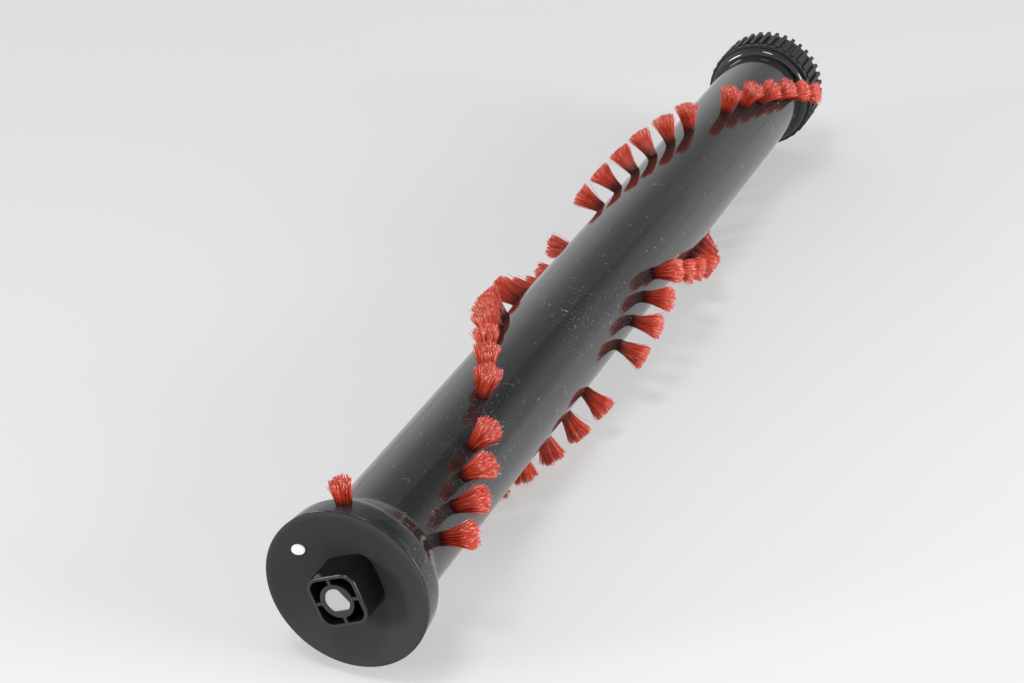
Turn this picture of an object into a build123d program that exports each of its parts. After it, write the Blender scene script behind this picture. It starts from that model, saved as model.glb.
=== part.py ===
from build123d import *
from math import asin, cos, degrees, pi, sqrt
import os

# Millimetres and degrees. X runs along the roll, from the end cap to the drive pulley, and Z is up.
# X = 0 is the front plane of the end cap's rim. An angle round the roll is counted from +Z towards +Y.

# Brush tube
tube_d = 28.8
tube_bore_d = 15.0
collar_d = 37.9
collar_flare = 0.45
collar_land = 4.8
shoulder_run = 10.0
shoulder_steps = 3
run_gap = 0.4

# Tufts
tip_d = 45.4
tuft_pitch = 9.24
tuft_step_deg = 11.65
tuft_hole_w = 3.2
tuft_hole_depth = 4.8
tuft_root_clearance = 0.1
tuft_head_w = 6.4
tuft_sides = 6
row_apex_deg = 107.7
row_first, row_last = -16, 15
row_near_margin = 4.98
row_far_margin = 6.28
group_period = 7
row_1_gap, row_2_gap = 2, 3
edge_tuft_inset = 4.4
edge_tuft_deg = 7.0
edge_tuft_floor = 0.75
edge_tuft_length = 6.1

# End cap
cap_lip = 0.1
cap_edge_t = 0.8
cap_rim_w = 0.9
cap_rim_t = 2.8
dish_depth = 5.2
dish_steps = 2
cap_web = 2.0
cap_turn_deg = 23.4
nose_d = 31.2
boss_w = 12.6
boss_corner_r = 3.2
boss_reach = 4.2
boss_wall = 0.9
boss_rib = 0.8
boss_ring_d = 8.2
pocket_depth = 6.6
hub_d = 9.2
hub_reach = 1.2
dot_d = 3.0
dot_depth = 1.2
dot_stand = 0.3
dot_r = 13.9
dot_deg = 39.2

# Axle
axle_d = 6.0
axle_recess = 0.3
axle_stub = 10.8
axle_chamfer = 0.8
key_flat = 2.35
key_angles = (180.0, -65.0)
key_clearance = 0.05

# Clips and washer
clip_t = 0.7
clip_d = 8.8
clip_groove_d = 5.0
clip_groove_w = 0.8
clip_mouth = 4.4
clip_mouth_deg = 90.0
washer_t = 0.7
washer_d = 9.0

# Shielded ball bearings, one size at both ends
bearing_d = 19.0
bearing_w = 6.0
bearing_lead = 0.4
inner_ring_d = 10.0
race_clearance = 0.06

# Drive pulley
flange_d = 35.0
flange_t = 1.6
tooth_count = 38
tooth_tip_d = 35.8
tooth_height = 1.2
tooth_gap_top, tooth_gap_root = 1.9, 1.3
belt_w = 11.2
spigot_d = 17.2
spigot_length = 11.5
pulley_bore_d = 10.4
pulley_rim_t = 1.9
lug_w, lug_h, lug_length = 3.0, 1.6, 2.4
lug_count = 2
lug_clearance = 0.1

# Places along the roll that several pieces share
collar_x = cap_edge_t + run_gap
shoulder_x = collar_x + collar_land
row_half = (row_last + 0.5) * tuft_pitch
row_apex_x = shoulder_x + shoulder_run + row_near_margin + row_half
tube_end_x = row_apex_x + row_half + row_far_margin
hub_back_x = dish_depth + cap_web
near_bearing_x = hub_back_x + hub_reach
near_shoulder_x = near_bearing_x + bearing_w
teeth_x = tube_end_x + flange_t
pulley_end_x = teeth_x + belt_w
far_bearing_x = pulley_end_x - bearing_w
far_clip_x = pulley_end_x + washer_t
axle_end_x = far_clip_x + axle_stub
tooth_root_d = tooth_tip_d - 2 * tooth_height
collar_mouth_d = collar_d + 2 * collar_flare
cap_d = collar_mouth_d + 2 * cap_lip
dish_d = cap_d - 2 * cap_rim_w
recess_r = nose_d / 2 + run_gap
edge_tuft_depth = collar_d / 2 - recess_r - edge_tuft_floor
sphere_r = ((dish_d / 2) ** 2 + dish_depth**2) / (2 * dish_depth)


def turned(points):
    # A solid of revolution about the roll's axis, from an outline of (x, radius).
    return revolve(make_face(Polyline(*points, close=True)), Axis.X)


def across(x, sketch):
    # Stands a flat sketch across the roll at x, with its own y axis up.
    return Pos(X=x) * (Plane.YZ * sketch)


def round_the_roll(angle):
    return Rot(X=-angle)


def tube_outline():
    # The collar falls to the tube along half a cosine wave, in straight steps.
    collar_r, tube_r, bore_r = collar_d / 2, tube_d / 2, tube_bore_d / 2
    seat_r, spigot_r = bearing_d / 2, spigot_d / 2
    parts = [step / shoulder_steps for step in range(shoulder_steps + 1)]
    drop = collar_r - tube_r
    shoulder = [(shoulder_x + shoulder_run * t, tube_r + drop * (1 + cos(pi * t)) / 2) for t in parts]
    recess_x = near_bearing_x - bearing_lead
    socket_x = tube_end_x - spigot_length
    return [
        (cap_rim_t + run_gap, recess_r),
        (collar_x, collar_mouth_d / 2),
        *shoulder,
        (tube_end_x, tube_r),
        (tube_end_x, spigot_r),
        (socket_x, spigot_r),
        (socket_x, bore_r),
        (near_shoulder_x, bore_r),
        (near_shoulder_x, seat_r),
        (recess_x, seat_r),
        (recess_x, recess_r),
    ]


def lug_block(grow):
    # A driving lug beside the pulley's spigot, with room round it where it is cut out of the tube.
    reach = spigot_d / 2 + lug_h + grow
    lug = Box(lug_length + grow, lug_w + 2 * grow, reach, align=(Align.MAX, Align.CENTER, Align.MIN))
    return Pos(X=tube_end_x) * lug


def lug_places():
    return [round_the_roll(360 / lug_count * k) for k in range(lug_count)]


def tuft_rows():
    # Two V-shaped rows half a turn apart. Each falls by one step per pitch on both sides of its apex,
    # row 2 stands half a pitch out of step with row 1, and every seventh place of a row is left empty.
    rows = []
    for apex_deg, shift, gap in ((row_apex_deg, 0.5, row_1_gap), (row_apex_deg - 180, 0.0, row_2_gap)):
        groups = [[]]
        for k in range(row_first, row_last + 1):
            steps = k + shift
            if (k - gap) % group_period == 0:
                groups.append([])
            elif abs(steps) < -row_first:
                x = row_apex_x + steps * tuft_pitch
                groups[-1].append((x, apex_deg - tuft_step_deg * abs(steps)))
        rows.append([group for group in groups if group])
    return rows


def tuft_place(x, angle, radius):
    return Pos(X=x) * round_the_roll(angle) * Pos(Z=radius)


def tuft_section(width):
    # Six-sided, with two sides along the roll.
    return RegularPolygon(width / 2, tuft_sides, major_radius=False)


def tuft_hole(depth):
    room = tuft_hole_w
    return Pos(Z=-depth) * extrude(tuft_section(tuft_hole_w), depth + room)


def brush_tube():
    tube = turned(tube_outline())
    cuts = [tuft_place(x, angle, tube_d / 2) * tuft_hole(tuft_hole_depth)
            for row in tuft_rows() for group in row for x, angle in group]
    cuts.append(edge_tuft_place() * tuft_hole(edge_tuft_depth))
    cuts += [place * lug_block(lug_clearance) for place in lug_places()]
    return tube - cuts


def edge_tuft_place():
    return tuft_place(collar_x + edge_tuft_inset, edge_tuft_deg, collar_d / 2)


def tuft(length, depth):
    # A straight root in its hole and a flared head, flat-sided: three like prisms, turned, have it in common.
    root = tuft_hole_w / 2 - tuft_root_clearance
    head = tuft_head_w / 2
    right = [(root, -depth), (root, 0), (head, length)]
    left = [(-y, z) for y, z in reversed(right)]
    prism = extrude(Plane.YZ * make_face(Polyline(*right, *left, close=True)), tuft_head_w, both=True)
    turns = [Rot(Z=360 / tuft_sides * k) for k in range(tuft_sides // 2)]
    return turns[0] * prism & turns[1] * prism & turns[2] * prism


def tuft_groups():
    # One node for each run of tufts between two gaps, each tuft a solid of its own.
    pattern = tuft((tip_d - tube_d) / 2, tuft_hole_depth)
    nodes = {}
    for number, row in enumerate(tuft_rows(), 1):
        for place, group in enumerate(row, 1):
            tufts = [tuft_place(x, angle, tube_d / 2) * pattern for x, angle in group]
            nodes[f"tufts_row_{number}_group_{place}"] = Compound(children=tufts)
    return nodes


def edge_tuft():
    return edge_tuft_place() * tuft(edge_tuft_length, edge_tuft_depth)


def keyed_section(grow):
    # The axle's end section: a round with two flats.
    section = Circle(axle_d / 2 + grow)
    for angle in key_angles:
        section -= Rot(Z=-angle) * Pos(Y=key_flat + grow + axle_d) * Rectangle(2 * axle_d, 2 * axle_d)
    return section


def dish_x(radius):
    # Depth of the dished face at a radius: part of a sphere through its rim and its middle.
    return dish_depth - sphere_r + sqrt(sphere_r**2 - radius**2)


def end_cap():
    cap_r, dish_r = cap_d / 2, dish_d / 2
    boss_r = boss_w / 2
    dish_rs = [boss_r + (dish_r - boss_r) * step / dish_steps for step in range(dish_steps + 1)]
    cap = turned([(dish_x(boss_r), 0)] + [(dish_x(r), r) for r in dish_rs] + [
        (0, cap_r),
        (cap_edge_t, cap_r),
        (cap_rim_t, nose_d / 2),
        (hub_back_x, nose_d / 2),
        (hub_back_x, hub_d / 2),
        (near_bearing_x, hub_d / 2),
        (near_bearing_x, 0),
    ])
    boss_outline = RectangleRounded(boss_w, boss_w, boss_corner_r)
    cap += extrude(across(-boss_reach, boss_outline), boss_reach + dish_depth)
    inner_w = boss_w - 2 * boss_wall
    pocket = RectangleRounded(inner_w, inner_w, boss_corner_r - boss_wall) - Circle(boss_ring_d / 2)
    pocket -= [Rectangle(boss_rib, boss_w), Rectangle(boss_w, boss_rib)]
    cap -= extrude(across(-boss_reach, pocket), pocket_depth)
    cap -= extrude(across(-boss_reach, keyed_section(key_clearance)), boss_reach + near_bearing_x)
    cap -= index_dot_blank()
    return round_the_roll(cap_turn_deg) * cap


def index_dot_blank():
    # A short plug square to the dish that stands a little proud of it.
    plug = Cylinder(dot_d / 2, dot_depth, rotation=(0, 90, 0), align=(Align.CENTER, Align.CENTER, Align.MIN))
    tilt = degrees(asin(dot_r / sphere_r))
    centre = Pos(X=dish_depth - sphere_r)
    return round_the_roll(dot_deg) * centre * Rot(Y=-tilt) * Pos(X=sphere_r - dot_stand) * plug


def index_dot():
    return round_the_roll(cap_turn_deg) * index_dot_blank()


def axle():
    near_x = axle_recess - boss_reach
    key_end_x = near_bearing_x
    axle_r, groove_r = axle_d / 2, clip_groove_d / 2
    points = [(key_end_x, 0), (key_end_x, axle_r)]
    for groove_x in (near_shoulder_x, far_clip_x):
        groove_end_x = groove_x + clip_groove_w
        points += [(groove_x, axle_r), (groove_x, groove_r), (groove_end_x, groove_r), (groove_end_x, axle_r)]
    points += [(axle_end_x - axle_chamfer, axle_r), (axle_end_x, axle_r - axle_chamfer), (axle_end_x, 0)]
    keyed = extrude(across(near_x, keyed_section(0)), key_end_x - near_x)
    return turned(points) + round_the_roll(cap_turn_deg) * keyed


def clip(x):
    # An open ring that snaps into a groove of the axle.
    ring = Circle(clip_d / 2) - Circle(clip_groove_d / 2)
    ring -= Pos(Y=clip_d / 2) * Rectangle(clip_mouth, clip_d)
    return round_the_roll(clip_mouth_deg) * extrude(across(x, ring), clip_t)


def washer(x, outer_d, bore_d, thickness):
    return extrude(across(x, Circle(outer_d / 2) - Circle(bore_d / 2)), thickness)


def inner_ring(x):
    return washer(x, inner_ring_d, axle_d, bearing_w)


def outer_ring(x):
    # A shielded bearing is closed up to the inner ring.
    return washer(x, bearing_d, inner_ring_d + 2 * race_clearance, bearing_w)


def tooth_ring():
    # The belt track: straight-sided tooth gaps cut out of a round.
    tip_r, root_r = tooth_tip_d / 2, tooth_root_d / 2
    half_top, half_root = tooth_gap_top / 2, tooth_gap_root / 2
    gap = make_face(Polyline(
        (-half_root, root_r), (half_root, root_r), (half_top, tip_r), (half_top, tip_r + tooth_height),
        (-half_top, tip_r + tooth_height), (-half_top, tip_r), close=True))
    gaps = [Rot(Z=360 / tooth_count * k) * gap for k in range(tooth_count)]
    inside = Circle(root_r - pulley_rim_t)
    return extrude(across(teeth_x, Circle(tip_r) - gaps - inside), belt_w)


def drive_pulley():
    flange_r, seat_r, bore_r = flange_d / 2, bearing_d / 2, pulley_bore_d / 2
    core_r = tooth_root_d / 2 - pulley_rim_t / 2
    pulley = turned([
        (tube_end_x - spigot_length, bore_r),
        (tube_end_x - spigot_length, spigot_d / 2),
        (tube_end_x, spigot_d / 2),
        (tube_end_x, flange_r),
        (teeth_x, flange_r),
        (teeth_x, core_r),
        (pulley_end_x, core_r),
        (pulley_end_x, seat_r),
        (far_bearing_x, seat_r),
        (far_bearing_x, bore_r),
    ])
    pulley += tooth_ring()
    bore = extrude(across(tube_end_x - spigot_length, Circle(bore_r)), spigot_length)
    return pulley + [place * lug_block(0) - bore for place in lug_places()]


def pair(make, near_x, far_x):
    return Compound(children=[make(near_x), make(far_x)])


def pieces():
    nodes = {
        "brush_tube": brush_tube(),
        "edge_tuft": edge_tuft(),
        "drive_pulley": drive_pulley(),
        "end_cap": end_cap(),
        "index_dot": index_dot(),
        "axle": axle(),
        "axle_clips": pair(clip, near_shoulder_x, far_clip_x),
        "thrust_washer": washer(pulley_end_x, washer_d, axle_d, washer_t),
        "bearing_inner_rings": pair(inner_ring, near_bearing_x, far_bearing_x),
        "bearing_outer_rings": pair(outer_ring, near_bearing_x, far_bearing_x),
    }
    return nodes | tuft_groups()


os.makedirs("parts", exist_ok=True)
for node, shape in pieces().items():
    export_step(shape, f"parts/{node}.step")
    print(node, len(shape.solids()), round(shape.volume, 1))
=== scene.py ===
import math

import bpy
import numpy as np
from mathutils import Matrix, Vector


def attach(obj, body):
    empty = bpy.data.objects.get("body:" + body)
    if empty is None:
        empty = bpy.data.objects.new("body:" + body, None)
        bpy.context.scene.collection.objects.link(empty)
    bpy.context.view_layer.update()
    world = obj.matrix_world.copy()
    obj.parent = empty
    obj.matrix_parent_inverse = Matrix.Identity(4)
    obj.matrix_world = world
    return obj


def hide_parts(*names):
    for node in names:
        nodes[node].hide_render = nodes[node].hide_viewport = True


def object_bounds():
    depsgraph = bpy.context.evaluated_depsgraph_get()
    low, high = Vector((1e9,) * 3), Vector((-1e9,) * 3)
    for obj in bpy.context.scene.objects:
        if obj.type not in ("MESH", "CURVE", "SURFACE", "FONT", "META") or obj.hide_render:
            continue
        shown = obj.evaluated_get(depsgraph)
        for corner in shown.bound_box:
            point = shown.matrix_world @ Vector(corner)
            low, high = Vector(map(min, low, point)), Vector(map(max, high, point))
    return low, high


mm = 0.001
fullTurn = 2 * math.pi
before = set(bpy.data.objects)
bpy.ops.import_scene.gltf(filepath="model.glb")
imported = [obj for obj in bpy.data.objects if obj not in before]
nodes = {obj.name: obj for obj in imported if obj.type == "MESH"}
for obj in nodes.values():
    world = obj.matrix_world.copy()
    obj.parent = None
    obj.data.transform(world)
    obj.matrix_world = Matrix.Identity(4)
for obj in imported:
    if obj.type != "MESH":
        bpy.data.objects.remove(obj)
cadLow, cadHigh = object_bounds()
rng = np.random.default_rng(41)
print("stage: frame loaded")


class Signal:  # a shader socket that can be added, multiplied and fed into nodes
    def __init__(self, tree, socket=None):
        self.tree = tree
        self.socket = socket

    def node(self, kind, settings, inputs, out=0):
        made = self.tree.nodes.new("ShaderNode" + kind)
        for key, value in settings.items():
            setattr(made, key, value)
        for key, value in inputs.items():
            self.feed(made.inputs[key], value)
        return Signal(self.tree, made.outputs[out])

    def feed(self, target, value):
        if isinstance(value, Signal):
            self.tree.links.new(value.socket, target)
        else:
            target.default_value = value

    def math(self, operation, *values):
        return self.node("Math", {"operation": operation}, dict(enumerate(values)))

    def __add__(self, other):
        return self.math("ADD", self, other)

    def __radd__(self, other):
        return self.math("ADD", other, self)

    def __sub__(self, other):
        return self.math("SUBTRACT", self, other)

    def __rsub__(self, other):
        return self.math("SUBTRACT", other, self)

    def __mul__(self, other):
        return self.math("MULTIPLY", self, other)

    def __rmul__(self, other):
        return self.math("MULTIPLY", other, self)

    def ramp(self, low, high, start=0.0, end=1.0):  # smooth step from start to end
        inputs = {"Value": self, "From Min": low, "From Max": high, "To Min": start, "To Max": end}
        return self.node("MapRange", {"interpolation_type": "SMOOTHSTEP"}, inputs)

    def blend(self, first, second):  # colour mix by this signal
        return self.node("Mix", {"data_type": "RGBA"}, {0: self, 6: first, 7: second}, 2)


def makeMaterial(name, constants):
    material = bpy.data.materials.new(name)
    material.use_nodes = True
    tree = material.node_tree
    shader = next(n for n in tree.nodes if n.type == "BSDF_PRINCIPLED")
    for key, value in constants.items():
        shader.inputs[key].default_value = value
    return material, Signal(tree), shader


def objectSpace(signal):
    return signal.node("TexCoord", {}, {}, "Object")


def noise(signal, point, scale, detail=2.0):
    return signal.node("TexNoise", {}, {"Vector": point, "Scale": scale, "Detail": detail}, "Fac")


def stretchedNoise(signal, point, scales, detail):  # noise with its own scale along each axis
    stretched = signal.node("Mapping", {}, {"Vector": point, "Scale": scales})
    return noise(signal, stretched, 1.0, detail)


def makeMesh(name, points, *faceSets):  # each face set is an array of quads or of triangles
    mesh = bpy.data.meshes.new(name)
    mesh.from_pydata(points.tolist(), [], [face for faces in faceSets for face in faces.tolist()])
    mesh.polygons.foreach_set("use_smooth", np.full(len(mesh.polygons), True))
    mesh.update()
    return mesh


def addPiece(name, mesh, body, material, replaced=()):
    piece = bpy.data.objects.new(name, mesh)
    bpy.context.scene.collection.objects.link(piece)
    mesh.materials.append(material)
    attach(piece, body)
    if replaced:
        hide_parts(*replaced)


def gridFaces(rows, columns, closed):  # quads of a rows x columns grid, closed round the columns or not
    r, c = np.meshgrid(np.arange(rows - 1), np.arange(columns if closed else columns - 1), indexing="ij")
    nextC = (c + 1) % columns
    quad = [r * columns + c, r * columns + nextC, (r + 1) * columns + nextC, (r + 1) * columns + c]
    return np.stack(quad, -1).reshape(-1, 4)


def joined(parts):  # several (points, faces) as one
    offsets = np.cumsum([0] + [len(part[0]) for part in parts[:-1]])
    points = np.concatenate([part[0] for part in parts])
    faces = np.concatenate([part[1] + offset for part, offset in zip(parts, offsets)])
    return points, faces


def rowMarks(marks, faces):  # one material number per grid row, for each of its faces
    return np.repeat(marks, len(faces) // len(marks))


def roundTheRoll(x, radius, angle):  # angle from +Z towards +Y, so y takes its sine and z its cosine
    return np.stack([x, radius * np.sin(angle), radius * np.cos(angle)], -1)


def lathe(profile, sides):  # (x, radius) rows turned about the roll's axis
    profile = np.asarray(profile, float) * mm
    angle = np.linspace(0, fullTurn, sides, endpoint=False)
    x, turn = np.meshgrid(profile[:, 0], angle, indexing="ij")
    radius = np.repeat(profile[:, 1:2], sides, 1)
    points = roundTheRoll(x, radius, turn).reshape(-1, 3)
    return points, gridFaces(len(profile), sides, True)


def rounded(corner, start, end, radius, steps=5):  # quarter circle, its centre one radius in along both sides
    t = np.linspace(0, math.pi / 2, steps)[:, None]
    start, end = np.asarray(start), np.asarray(end)
    centre = np.asarray(corner) + radius * (start + end)
    return (centre - radius * (end * np.cos(t) + start * np.sin(t))).tolist()


tubeDims = {
    "radius": 14.4, "collar": 18.95, "mouth": 19.4, "mouthX": 1.2, "shoulderX": 6.0, "shoulderEndX": 16.0,
    "shoulderSteps": 28, "runGap": 1.0, "runSteps": 40, "endX": 313.7, "edge": 0.16, "endEdge": 0.3,
    "recess": 16.0, "rimX": 3.2, "recessX": 8.0, "seat": 9.5, "spigot": 8.6, "sides": 320,
    "plastic": (0.0125, 0.0132, 0.0142, 1), "specular": 0.72, "roughness": 0.07,
    # each size of speck: scale of its pattern, size of a dot, share of the cells that hold one
    "fineSpecks": (2200.0, 0.36, 0.34), "midSpecks": (1100.0, 0.2, 0.1), "largeSpecks": (520.0, 0.12, 0.12),
    "speckCore": 0.4, "speckFaint": 0.7, "raggedScale": 2500.0, "ragged": 0.0006,
    "patchScale": 26.0, "patches": (0.45, 0.66), "curlScale": 420.0, "curlWidth": (0.016, 0.006),
    "lintScale": 330.0, "lintPlaces": (0.7, 0.75), "hazeScales": (6.0, 90.0, 90.0), "hazes": (0.35, 0.75),
    "scuffScales": (700.0, 130.0, 130.0), "scuffs": (0.52, 0.7), "scuffEndX": (0.0075, 0.0055),
    # how far each kind of dirt lightens the plastic, and how far it dulls it
    "dustColor": (0.62, 0.62, 0.6, 1), "lightens": {"specks": 0.45, "lint": 0.26, "haze": 0.014, "scuff": 0.03},
    "dulls": {"specks": 0.4, "haze": 0.05, "scuff": 0.2},
}


def shoulderProfile():  # the radius falls from the collar to the tube as half a cosine wave
    d = tubeDims
    t = np.linspace(0, 1, d["shoulderSteps"])
    x = d["shoulderX"] + (d["shoulderEndX"] - d["shoulderX"]) * t
    r = d["radius"] + (d["collar"] - d["radius"]) * (1 + np.cos(math.pi * t)) / 2
    return np.stack([x, r], -1).tolist()


def tubeProfile():  # (x, radius) from the recess for the cap, over the lip and the shoulder, to the far end
    d = tubeDims
    front = [(d["recessX"], d["seat"]), (d["recessX"], d["recess"]), (d["rimX"], d["recess"])]
    lip = rounded((d["mouthX"], d["mouth"]), (0, -1), (1, 0), d["edge"])
    runX = np.linspace(d["shoulderEndX"] + d["runGap"], d["endX"] - d["runGap"], d["runSteps"])
    straight = [(x, d["radius"]) for x in runX]
    end = rounded((d["endX"], d["radius"]), (-1, 0), (0, -1), d["endEdge"])
    return front + lip + shoulderProfile() + straight + end + [(d["endX"], d["spigot"])]


def speckle(signal, point, scale, size, share):  # dots of dust in a share of a Voronoi pattern's cells
    inputs = {"Vector": point, "Scale": scale}
    near = signal.node("TexVoronoi", {"feature": "F1"}, inputs, "Distance")
    seed = signal.node("TexVoronoi", {"feature": "F1"}, inputs, "Color")
    pick, level = (signal.node("SeparateColor", {}, {"Color": seed}, key) for key in ("Red", "Green"))
    dots = near.ramp(size, size * tubeDims["speckCore"])
    return dots * pick.ramp(1 - share, 1 - share * tubeDims["speckFaint"]) * (level * level)


def tubeMaterial():
    d = tubeDims
    material, signal, shader = makeMaterial("tubePlastic", {"Specular IOR Level": d["specular"]})
    point = objectSpace(signal)
    ragged = signal.node("TexNoise", {}, {"Vector": point, "Scale": d["raggedScale"]}, "Color")
    bend = {0: ragged, 1: (d["ragged"],) * 3, 2: point}  # gives the specks uneven outlines
    bent = signal.node("VectorMath", {"operation": "MULTIPLY_ADD"}, bend)
    patch = noise(signal, point, d["patchScale"], detail=3.0).ramp(*d["patches"])
    fine, mid, large = (speckle(signal, bent, *d[size + "Specks"]) for size in ("fine", "mid", "large"))
    specks = fine * patch + mid + large * patch
    curl = signal.math("ABSOLUTE", noise(signal, point, d["curlScale"], detail=0.0) - 0.5)
    lintPlaces = noise(signal, point, d["lintScale"], detail=0.0).ramp(*d["lintPlaces"])
    lint = curl.ramp(*d["curlWidth"]) * lintPlaces  # lint lies on thin level lines of a noise
    haze = stretchedNoise(signal, point, d["hazeScales"], detail=4.0).ramp(*d["hazes"])
    onCollar = signal.node("SeparateXYZ", {}, {"Vector": point}, "X").ramp(*d["scuffEndX"])
    scuff = stretchedNoise(signal, point, d["scuffScales"], detail=4.0).ramp(*d["scuffs"]) * onCollar
    light, dull = d["lightens"], d["dulls"]
    dust = specks * light["specks"] + lint * light["lint"] + haze * light["haze"] + scuff * light["scuff"]
    dulled = haze * dull["haze"] + (specks + lint) * dull["specks"] + scuff * dull["scuff"]
    signal.feed(shader.inputs["Base Color"], dust.blend(d["plastic"], d["dustColor"]))
    signal.feed(shader.inputs["Roughness"], dulled + d["roughness"])
    return material


tubeLook = tubeMaterial()
tubeMesh = makeMesh("tubeSkin", *lathe(tubeProfile(), tubeDims["sides"]))
addPiece("tubeSkin", tubeMesh, "brush_roll", tubeLook, ["brush_tube"])
print("stage: tube")

tuftDims = {
    "tip": 22.7, "pitch": 9.24, "stepDeg": 11.65, "apexX": 164.2, "apexDeg": 107.7, "first": -16, "last": 15,
    "period": 7, "gaps": (2, 3), "shifts": (0.5, 0.0), "root": 1.45, "flare": 3.25,
    "edgeX": 5.6, "edgeDeg": 7.0, "edgeLength": 6.1, "edgeRoot": 1.75, "edgeFlare": 2.45,
    "filaments": 640, "thick": 0.072, "rings": 4, "sink": 0.8, "bend": 1.5, "lean": 0.3, "jitter": 0.24,
    "clump": 0.3, "clumpWaves": (5, 4), "clumpTurn": 9, "strayShare": 0.09, "strayReach": 2.6,
    "uneven": 0.42, "shortest": 1.2, "shortRarity": 4,
    "darkStrand": (0.43, 0.022, 0.011, 1), "lightStrand": (0.84, 0.088, 0.034, 1), "roughness": 0.22,
    # tipGlint entries: pale colour on some strand tips, a painted glint
    "specular": 0.7, "tipGlintColor": (1.0, 0.62, 0.52, 1), "tipGlintLength": (0.8, 1.0), "tipGlintStrands": (0.78, 0.95),
    # rootShade entries: painted shade, the strands darkening towards their roots
    "tipGlintShare": 0.75, "rootShadeColor": (0.1, 0.006, 0.004, 1), "rootShadeLength": (0.12, 0.6),
}


def tuftPlaces():  # node name to (x, angle, base, tip, root, flare) of its tufts: two V-shaped rows with gaps
    d = tuftDims
    collar = tubeDims["collar"]
    edgeTuft = (d["edgeX"], d["edgeDeg"], collar, collar + d["edgeLength"], d["edgeRoot"], d["edgeFlare"])
    places = {"edge_tuft": [edgeTuft]}
    apexes = (d["apexDeg"], d["apexDeg"] - 180)
    for row, (apex, shift, gap) in enumerate(zip(apexes, d["shifts"], d["gaps"]), 1):
        groups = [[]]
        for k in range(d["first"], d["last"] + 1):
            steps = k + shift
            if (k - gap) % d["period"] == 0:
                groups.append([])
            elif abs(steps) < -d["first"]:
                x, angleDeg = d["apexX"] + steps * d["pitch"], apex - d["stepDeg"] * abs(steps)
                groups[-1].append((x, angleDeg, tubeDims["radius"], d["tip"], d["root"], d["flare"]))
        for number, group in enumerate([g for g in groups if g], 1):
            places[f"tufts_row_{row}_group_{number}"] = group
    return places


def filaments(base, tip, root, spread):
    # local axes: a along the roll, b round it, c outward
    # the side offset grows with a power of the share of length, and the tips are trimmed at one radius
    d = tuftDims
    count = d["filaments"]
    reach = np.sqrt(rng.random(count))
    spin = rng.random(count) * fullTurn
    rootA, rootB = root * reach * np.cos(spin), root * reach * np.sin(spin)
    lean = rng.normal(0, d["lean"], 2)
    waveA = np.sin(d["clumpWaves"][0] * spin + lean[0] * d["clumpTurn"])
    waveB = np.cos(d["clumpWaves"][1] * spin + lean[1] * d["clumpTurn"])
    clump = d["clump"] * np.stack([waveA, waveB], -1) * reach[:, None]
    stray = np.where(rng.random(count) < d["strayShare"], d["strayReach"], 1.0)
    flare = spread / root
    tipA = rootA * flare + lean[0] + clump[:, 0] + rng.normal(0, d["jitter"], count) * stray
    tipB = rootB * flare + lean[1] + clump[:, 1] + rng.normal(0, d["jitter"], count) * stray
    uneven = np.abs(rng.normal(0, d["uneven"], count))
    trim = tip - uneven - d["shortest"] * rng.random(count) ** d["shortRarity"]
    t = np.linspace(0, 1, d["rings"])[None, :]
    side = t ** d["bend"]
    a = rootA[:, None] + (tipA - rootA)[:, None] * side
    b = rootB[:, None] + (tipB - rootB)[:, None] * side
    top = np.sqrt(np.maximum(trim**2 - tipB**2, 1)) - base
    c = -d["sink"] + (top[:, None] + d["sink"]) * t
    return a, b, c


def tuftMesh(name, tufts):  # a three-sided section carried along each filament and closed at its tip
    rings, thick = tuftDims["rings"], tuftDims["thick"]
    corner = np.arange(3) * fullTurn / 3
    allPoints, along, strand = [], [], []
    for x, angleDeg, base, tip, root, spread in tufts:
        a, b, c = filaments(base, tip, root, spread)
        count = len(a)
        turn = rng.random(count)[:, None, None] * fullTurn
        a3 = a[:, :, None] + thick * np.cos(corner + turn)
        b3 = b[:, :, None] + thick * np.sin(corner + turn)
        c3 = np.repeat(c[:, :, None], 3, 2) + base
        angle = math.radians(angleDeg)
        y = c3 * math.sin(angle) + b3 * math.cos(angle)
        z = c3 * math.cos(angle) - b3 * math.sin(angle)
        allPoints.append(np.stack([a3 + x, y, z], -1).reshape(-1, 3))
        along.append(np.broadcast_to(np.linspace(0, 1, rings)[None, :, None], a3.shape).reshape(-1))
        strand.append(np.broadcast_to(rng.random(count)[:, None, None], a3.shape).reshape(-1))
    points = np.concatenate(allPoints) * mm
    starts = np.arange(len(points) // (rings * 3)) * rings * 3
    faces = (gridFaces(rings, 3, True)[None] + starts[:, None, None]).reshape(-1, 4)
    caps = (starts + (rings - 1) * 3)[:, None] + np.arange(3)
    mesh = makeMesh(name, points, faces, caps)
    for label, values in (("along", along), ("strand", strand)):
        layer = mesh.attributes.new(label, "FLOAT", "POINT")
        layer.data.foreach_set("value", np.concatenate(values).astype(np.float32))
    return mesh


def tuftMaterial():
    d = tuftDims
    constants = {"Roughness": d["roughness"], "Specular IOR Level": d["specular"]}
    material, signal, shader = makeMaterial("tuftFibre", constants)
    along = signal.node("Attribute", {"attribute_name": "along"}, {}, "Fac")
    strand = signal.node("Attribute", {"attribute_name": "strand"}, {}, "Fac")
    body = strand.blend(d["darkStrand"], d["lightStrand"])
    # painted glint: pale tips on a share of the strands
    cut = along.ramp(*d["tipGlintLength"]) * strand.ramp(*d["tipGlintStrands"]) * d["tipGlintShare"]
    bodyWithGlint = cut.blend(body, d["tipGlintColor"])
    # painted shade: the strands turn near-black towards the root, where shadow falls
    shade = along.ramp(*d["rootShadeLength"])
    signal.feed(shader.inputs["Base Color"], shade.blend(d["rootShadeColor"], bodyWithGlint))
    return material


tuftLook = tuftMaterial()
places = tuftPlaces()
for node, tufts in places.items():
    fibres = "fibres_" + node
    addPiece(fibres, tuftMesh(fibres, tufts), "brush_roll", tuftLook, [node])
print("stage: tufts")

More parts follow.
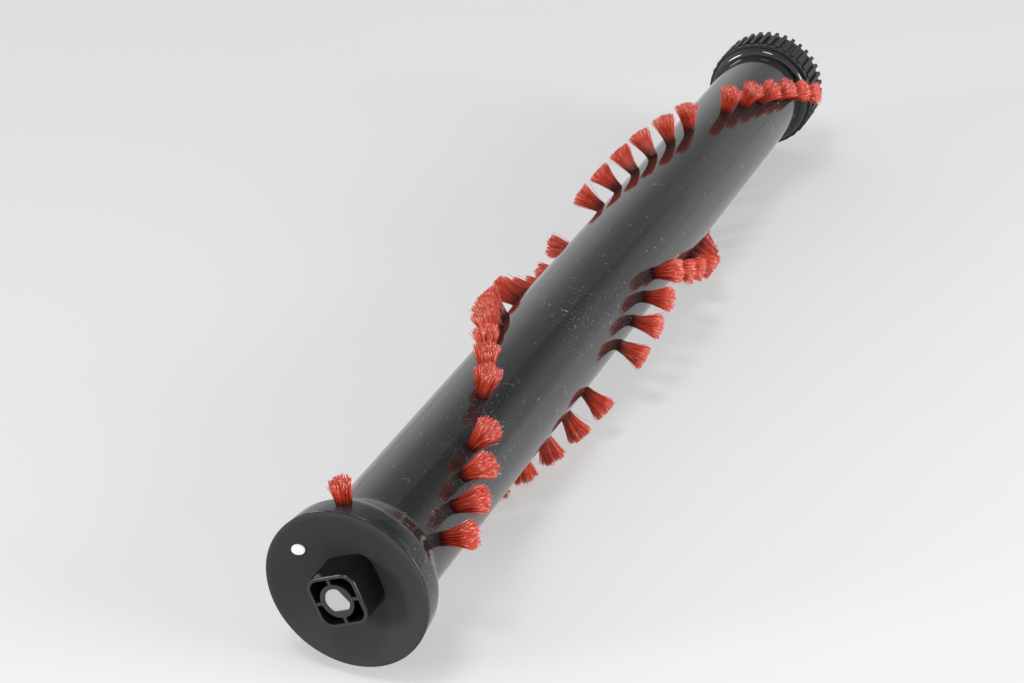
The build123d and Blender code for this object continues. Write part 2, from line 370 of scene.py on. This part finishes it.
# near-black rings round the tuft roots are painted shade: a dark sheet standing for the shadow in the holes
shadeRingDims = {"inner": 1.35, "outer": 1.8, "rise": 0.03, "sides": 20,
              "plastic": {"Base Color": (0.006, 0.006, 0.006, 1), "Roughness": 0.6}}


def shadeRingPart(x, angleDeg, base):  # flat ring bent round the tube: its offset over the radius is its angle
    d = shadeRingDims
    turn = np.linspace(0, fullTurn, d["sides"], endpoint=False)
    radius = np.array([d["inner"], d["outer"]])[:, None]
    a, b = radius * np.cos(turn), radius * np.sin(turn)
    points = roundTheRoll(x + a, np.full_like(a, base + d["rise"]), math.radians(angleDeg) + b / base)
    return points.reshape(-1, 3) * mm, gridFaces(2, d["sides"], True)


shadeRingLook, _, _ = makeMaterial("tuftRootShadeRing", shadeRingDims["plastic"])
shadeRingParts = [shadeRingPart(*tuft[:3]) for tufts in places.values() for tuft in tufts]
shadeRingMesh = makeMesh("tuftRootShadeRings", *joined(shadeRingParts))
addPiece("tuftRootShadeRings", shadeRingMesh, "brush_roll", shadeRingLook)
print("stage: tuft root shade rings")

capDims = {
    "radius": 19.5, "edgeX": 0.8, "rimX": 2.8, "edge": 0.3, "dish": 18.6, "dishDepth": 5.2, "dishSteps": 30,
    "nose": 15.6, "noseX": 7.2, "hub": 4.6, "hubX": 8.4, "turn": 23.4, "sides": 256, "sharpDeg": 35,
    "boss": 12.6, "bossCorner": 3.2, "leastCorner": 0.02, "cornerSteps": 9, "bossReach": 4.2, "bossRoot": 1.0,
    "bossEdge": 0.4, "wall": 0.9, "mouthEdge": 0.15, "mouthBevel": 0.04, "pocketX": 2.4, "pocketInset": 3.0,
    "rib": 0.8, "ribEdge": 0.1, "ribLap": 0.1,
    "ring": 4.1, "ringEdge": 0.12, "ringSides": 144, "bore": 3.05, "flat": 2.4, "flats": (180.0, -65.0),
    "dark": (0.033, 0.033, 0.034, 1), "light": (0.039, 0.039, 0.04, 1), "specular": 0.2, "cloudScale": 60.0,
    "roughness": 0.68, "cloudDulls": 0.1, "grainScale": 900.0, "grain": 0.12, "grainDepth": 0.0002,
    # near-black and glossy: painted shade on the boss's side walls and pockets, the ring's bore and the ribs'
    # sides, whose fronts keep the cap's grey
    "bossPaintedShade": {"Base Color": (0.006, 0.006, 0.0065, 1), "Roughness": 0.17},
}


def dishX(r):  # part of a sphere through the rim and the middle
    d = capDims
    sphere = (d["dish"] ** 2 + d["dishDepth"] ** 2) / (2 * d["dishDepth"])
    return d["dishDepth"] - sphere + np.sqrt(sphere**2 - r**2)


def capProfile():  # (x, radius) from the boss's ring over the dish and the rim to the back of the hub
    d = capDims
    r = np.linspace(d["ring"], d["dish"], d["dishSteps"])
    dish = np.stack([dishX(r), r], -1).tolist()
    edge = rounded((0, d["radius"]), (0, -1), (1, 0), d["edge"])
    nose = [(d["edgeX"], d["radius"]), (d["rimX"], d["nose"]), (d["noseX"], d["nose"])]
    hub = [(d["noseX"], d["hub"]), (d["hubX"], d["hub"]), (d["hubX"], d["bore"])]
    return dish + edge + nose + hub


def squareOutline(inset):  # four quarter circles round centres on the diagonals, all drawn in by inset
    d = capDims
    half = d["boss"] / 2 - inset
    radius = max(d["bossCorner"] - inset, d["leastCorner"])
    centre = (half - radius) * math.sqrt(2)
    quarter = np.arange(4)[:, None] * math.pi / 2
    turn = np.linspace(0, math.pi / 2, d["cornerSteps"]) + quarter
    at = math.pi / 4 + quarter
    corners = [centre * np.cos(at) + radius * np.cos(turn), centre * np.sin(at) + radius * np.sin(turn)]
    return np.stack(corners, -1).reshape(-1, 2)


def turnedCap(x, y, z):  # places cap points at the cap's own turn
    turn = math.radians(capDims["turn"])
    turnedY = y * math.cos(turn) + z * math.sin(turn)
    turnedZ = z * math.cos(turn) - y * math.sin(turn)
    return np.stack([x, turnedY, turnedZ], -1) * mm


def bossPart():  # rounded square carried along the axis: up the outside, over the front, into the pocket
    d = capDims
    top, wall = -d["bossReach"], d["wall"]
    edge, mouth, bevel = d["bossEdge"], d["mouthEdge"], d["mouthBevel"]
    outside = [(d["dishDepth"] + d["bossRoot"], 0), (top + edge, 0), (top + edge / 2, edge / 8)]
    front = [(top + edge / 8, edge / 2), (top, edge), (top, wall - mouth), (top + bevel, wall - bevel)]
    pocket = [(top + mouth, wall), (d["pocketX"], wall), (d["pocketX"], d["pocketInset"])]
    rows = np.array(outside + front + pocket)
    outlines = np.stack([squareOutline(inset) for inset in rows[:, 1]])
    x = np.repeat(rows[:, :1], outlines.shape[1], 1)
    points = turnedCap(x, outlines[..., 0], outlines[..., 1]).reshape(-1, 3)
    faces = gridFaces(len(rows), outlines.shape[1], True)
    # material 1 (near-black) on the walls, the outer half of the rounded edge and the pocket is painted shade;
    # the front keeps the cap's grey
    return points, faces, rowMarks((1, 1, 1, 0, 0, 0, 1, 1, 1), faces)


def keyedRadius(turn, least=0.1):  # the bore, or where less the flat's distance over the cosine from its side
    d = capDims
    radius = np.full_like(turn, d["bore"])
    for flat in d["flats"]:
        cosine = np.cos(turn - math.radians(flat))
        cut = np.minimum(radius, d["flat"] / np.maximum(cosine, least))
        radius = np.where(cosine > least, cut, radius)
    return radius


def ringPart():  # (x, radius) rows round the keyed bore: up the outside, over the front, down the bore
    d = capDims
    top, back, edge = -d["bossReach"], d["pocketX"], d["ringEdge"]
    turn = np.linspace(0, fullTurn, d["ringSides"], endpoint=False)
    bore = keyedRadius(turn)
    outer, shoulder = np.full_like(bore, d["ring"]), np.full_like(bore, d["ring"] - edge)
    radius = np.stack([outer, outer, shoulder, bore + edge, bore, bore])
    x = np.repeat(np.array([back, top + edge, top, top, top + edge, back])[:, None], d["ringSides"], 1)
    points = turnedCap(x, radius * np.sin(turn), radius * np.cos(turn)).reshape(-1, 3)
    faces = gridFaces(len(radius), d["ringSides"], True)
    # the ring's outside and bore take the near-black painted shade, its front the cap's grey
    return points, faces, rowMarks((1, 0, 0, 0, 1), faces)


def ribPart(k):  # a bevelled section carried straight out from the ring to the boss, its end face flush
    d = capDims
    start, end = d["ring"] - d["ribLap"], d["boss"] / 2 - d["wall"] + d["ribLap"]
    top, back, half, edge = -d["bossReach"], d["pocketX"], d["rib"] / 2, d["ribEdge"]
    left = [(back, -half), (top + edge, -half), (top, -half + edge)]
    right = [(top, half - edge), (top + edge, half), (back, half)]
    section = np.array(left + right)
    out = np.repeat(np.array([start, end])[:, None], len(section), 1)
    x, side = np.repeat(section[None, :, 0], 2, 0), np.repeat(section[None, :, 1], 2, 0)
    at = k * math.pi / 2
    points = turnedCap(x, out * math.sin(at) + side * math.cos(at), out * math.cos(at) - side * math.sin(at))
    # the rib's sides take the near-black painted shade, its front the cap's grey
    return points.reshape(-1, 3), gridFaces(2, len(section), False), np.array((1, 0, 0, 0, 1))


def capMaterial():
    d = capDims
    material, signal, shader = makeMaterial("capPlastic", {"Specular IOR Level": d["specular"]})
    point = objectSpace(signal)
    grain = noise(signal, point, d["grainScale"], detail=3.0)
    cloud = noise(signal, point, d["cloudScale"])
    signal.feed(shader.inputs["Base Color"], cloud.blend(d["dark"], d["light"]))
    signal.feed(shader.inputs["Roughness"], cloud * d["cloudDulls"] + d["roughness"])
    bump = signal.node("Bump", {}, {"Strength": d["grain"], "Distance": d["grainDepth"], "Height": grain})
    signal.feed(shader.inputs["Normal"], bump)
    return material


dishPoints, dishFaces = lathe(capProfile(), capDims["sides"])
capParts = [(dishPoints, dishFaces, np.zeros(len(dishFaces), int)), bossPart(), ringPart()]
capParts += [ribPart(k) for k in range(4)]
capMesh = makeMesh("capSkin", *joined(capParts))
capMesh.polygons.foreach_set("material_index", np.concatenate([marks for _, _, marks in capParts]))
capMesh.set_sharp_from_angle(angle=math.radians(capDims["sharpDeg"]))
# second material of the cap: near-black painted shade on walls and hollows of the same plastic
bossPaintedShadeLook, _, _ = makeMaterial("bossPaintedShade", capDims["bossPaintedShade"])
addPiece("capSkin", capMesh, "axle_assembly", capMaterial(), ["end_cap"])
capMesh.materials.append(bossPaintedShadeLook)
print("stage: end cap")

beadDims = {"x": tubeDims["endX"], "reach": 2.0, "lip": 0.3, "inner": 14.42, "steps": 8, "sides": 200}
plainFinishes = {
    "pulleyPlastic": {"Base Color": (0.011, 0.011, 0.012, 1), "Roughness": 0.45},
    "beadPlastic": {"Base Color": (0.006, 0.006, 0.007, 1), "Roughness": 0.06, "Specular IOR Level": 0.7},
    "dotPaint": {"Base Color": (0.97, 0.97, 0.97, 1), "Roughness": 0.35},
    "axleSteel": {"Base Color": (0.62, 0.61, 0.6, 1), "Metallic": 1.0},
    "springSteel": {"Base Color": (0.32, 0.32, 0.34, 1), "Metallic": 1.0, "Roughness": 0.35},
    "bearingSteel": {"Base Color": (0.58, 0.58, 0.6, 1), "Metallic": 1.0, "Roughness": 0.22},
}
nodeFinishes = {"drive_pulley": "pulleyPlastic", "index_dot": "dotPaint", "axle": "axleSteel",
                "thrust_washer": "axleSteel", "axle_clips": "springSteel",
                "bearing_inner_rings": "bearingSteel", "bearing_outer_rings": "bearingSteel"}
axleDims = {"markScales": (40.0, 500.0, 500.0), "roughness": 0.28, "markDulls": 0.2}


def beadProfile():  # quarter circle of the pulley's bead that closes on the tube's end
    d = beadDims
    t = np.linspace(0, math.pi / 2, d["steps"])
    curve = [d["x"] - d["reach"] * np.cos(t), d["inner"] + d["lip"] + d["reach"] * np.sin(t)]
    return [(d["x"] - d["reach"], d["inner"])] + np.stack(curve, -1).tolist()


def markAxle(signal, shader):  # drawing marks along the steel
    d = axleDims
    marks = stretchedNoise(signal, objectSpace(signal), d["markScales"], detail=3.0)
    signal.feed(shader.inputs["Roughness"], marks * d["markDulls"] + d["roughness"])


plainLooks = {name: makeMaterial(name, constants) for name, constants in plainFinishes.items()}
markAxle(*plainLooks["axleSteel"][1:])
beadMesh = makeMesh("pulleyBead", *lathe(beadProfile(), beadDims["sides"]))
addPiece("pulleyBead", beadMesh, "brush_roll", plainLooks["beadPlastic"][0])
for node, finish in nodeFinishes.items():
    for place in nodes[node].material_slots:
        place.material = plainLooks[finish][0]
print("stage: pulley, axle and bearings")

floorDims = {"size": 8.0, "near": (0.86, 0.855, 0.845, 1), "far": (0.67, 0.675, 0.685, 1), "paintedFalloff": (-0.35, 0.6),
             "paper": {"Roughness": 0.9, "Specular IOR Level": 0.2},
             "glow": {"Color": (0.77, 0.77, 0.77, 1), "Strength": 1.0}, "glowShare": 0.38}
roomDims = {"bright": 0.95, "zenith": 0.55, "overhead": (0.3, 1.0), "wallAhead": (0.2, 0.6),
            "wallTop": (0.95, 0.65), "wallWidth": (1.3, 0.1), "wallSide": 0.25, "wallFade": (0.28, 0.55),
            "wallLow": 0.5, "wallHigh": 0.16, "corner": 0.17, "cornerLean": 0.85, "cornerSide": 0.625,
            "cornerEdge": 0.02}
lampAim = (0.12, 0.0, 0.0)
lampDims = {"key": {"place": (-0.45, 0.1, 1.2), "size": 0.4, "power": 5.0},
            "side": {"place": (0.1, -1.7, 0.5), "size": 0.9, "power": 24.0},
            "fill": {"place": (-1.15, 1.25, 0.4), "size": 0.5, "power": 13.0}}
cameraDims = {"place": (-0.344527, -0.179989, 0.267312), "tiltDeg": 61.964, "turnDeg": -67.728,
              "lens": 76.01, "sensor": 36}


def buildFloor():  # pale paper, its colour darker towards the far left as painted falloff of light, with a glow that only camera, glossy and transmission rays see
    d = floorDims
    half = d["size"] / 2
    corners = np.array([(-half, -half, 0), (half, -half, 0), (half, half, 0), (-half, half, 0)], float)
    corners[:, 2] = cadLow[2]
    floor = bpy.data.objects.new("floor", makeMesh("floor", corners, np.array([[0, 1, 2, 3]])))
    bpy.context.scene.collection.objects.link(floor)
    material, signal, shader = makeMaterial("floorPaper", d["paper"])
    x, y = (signal.node("SeparateXYZ", {}, {"Vector": objectSpace(signal)}, axis) for axis in "XY")
    # painted falloff of light: the paper's colour darkens from the near right to the far left
    signal.feed(shader.inputs["Base Color"], (x + y).ramp(*d["paintedFalloff"]).blend(d["near"], d["far"]))
    rays = ("Is Camera Ray", "Is Glossy Ray", "Is Transmission Ray")
    camera, glossy, through = (signal.node("LightPath", {}, {}, ray) for ray in rays)
    share = (camera + glossy + through) * d["glowShare"]
    lit, glow = Signal(signal.tree, shader.outputs[0]), signal.node("Emission", {}, d["glow"])
    output = next(n for n in signal.tree.nodes if n.type == "OUTPUT_MATERIAL")
    signal.feed(output.inputs["Surface"], signal.node("MixShader", {}, {0: share, 1: lit, 2: glow}))
    floor.data.materials.append(material)


def buildLamp(name, place, size, power):
    lamp = bpy.data.lights.new(name, "AREA")
    lamp.shape = "DISK"
    lamp.size = size
    lamp.energy = power
    light = bpy.data.objects.new(name, lamp)
    bpy.context.scene.collection.objects.link(light)
    light.location = place
    away = np.array(place) - np.array(lampAim)
    tilt = math.acos(away[2] / np.linalg.norm(away))
    light.rotation_euler = (tilt, 0, math.atan2(away[1], away[0]) + math.pi / 2)


def buildWorld():  # a white room, softer overhead, with a dim wall beyond the drive end
    d = roomDims
    world = bpy.data.worlds.new("studio")
    world.use_nodes = True
    signal = Signal(world.node_tree)
    background = next(n for n in world.node_tree.nodes if n.type == "BACKGROUND")
    direction = signal.node("TexCoord", {}, {}, "Generated")
    x, y, z = (signal.node("SeparateXYZ", {}, {"Vector": direction}, axis) for axis in "XYZ")
    beside = signal.math("ABSOLUTE", y + d["wallSide"])
    wall = x.ramp(*d["wallAhead"]) * z.ramp(*d["wallTop"]) * beside.ramp(*d["wallWidth"])
    room = z.ramp(*d["overhead"], d["bright"], d["zenith"])
    dim = z.ramp(*d["wallFade"], d["wallLow"], d["wallHigh"])
    corner = (y - z * d["cornerLean"] + d["cornerSide"]).ramp(-d["cornerEdge"], d["cornerEdge"]) * d["corner"]
    background.inputs["Color"].default_value = (1, 1, 1, 1)
    signal.feed(background.inputs["Strength"], room - wall * (room - dim - corner))
    bpy.context.scene.world = world


def buildCamera():
    d = cameraDims
    lens = bpy.data.cameras.new("camera")
    lens.sensor_width = d["sensor"]
    lens.lens = d["lens"]
    camera = bpy.data.objects.new("camera", lens)
    bpy.context.scene.collection.objects.link(camera)
    camera.location = d["place"]
    camera.rotation_euler = (math.radians(d["tiltDeg"]), 0, math.radians(d["turnDeg"]))
    bpy.context.scene.camera = camera


buildFloor()
buildWorld()
for name, dims in lampDims.items():
    buildLamp(name, **dims)
buildCamera()
bpy.context.scene.view_settings.view_transform = "Standard"
print("stage: floor, light and camera")
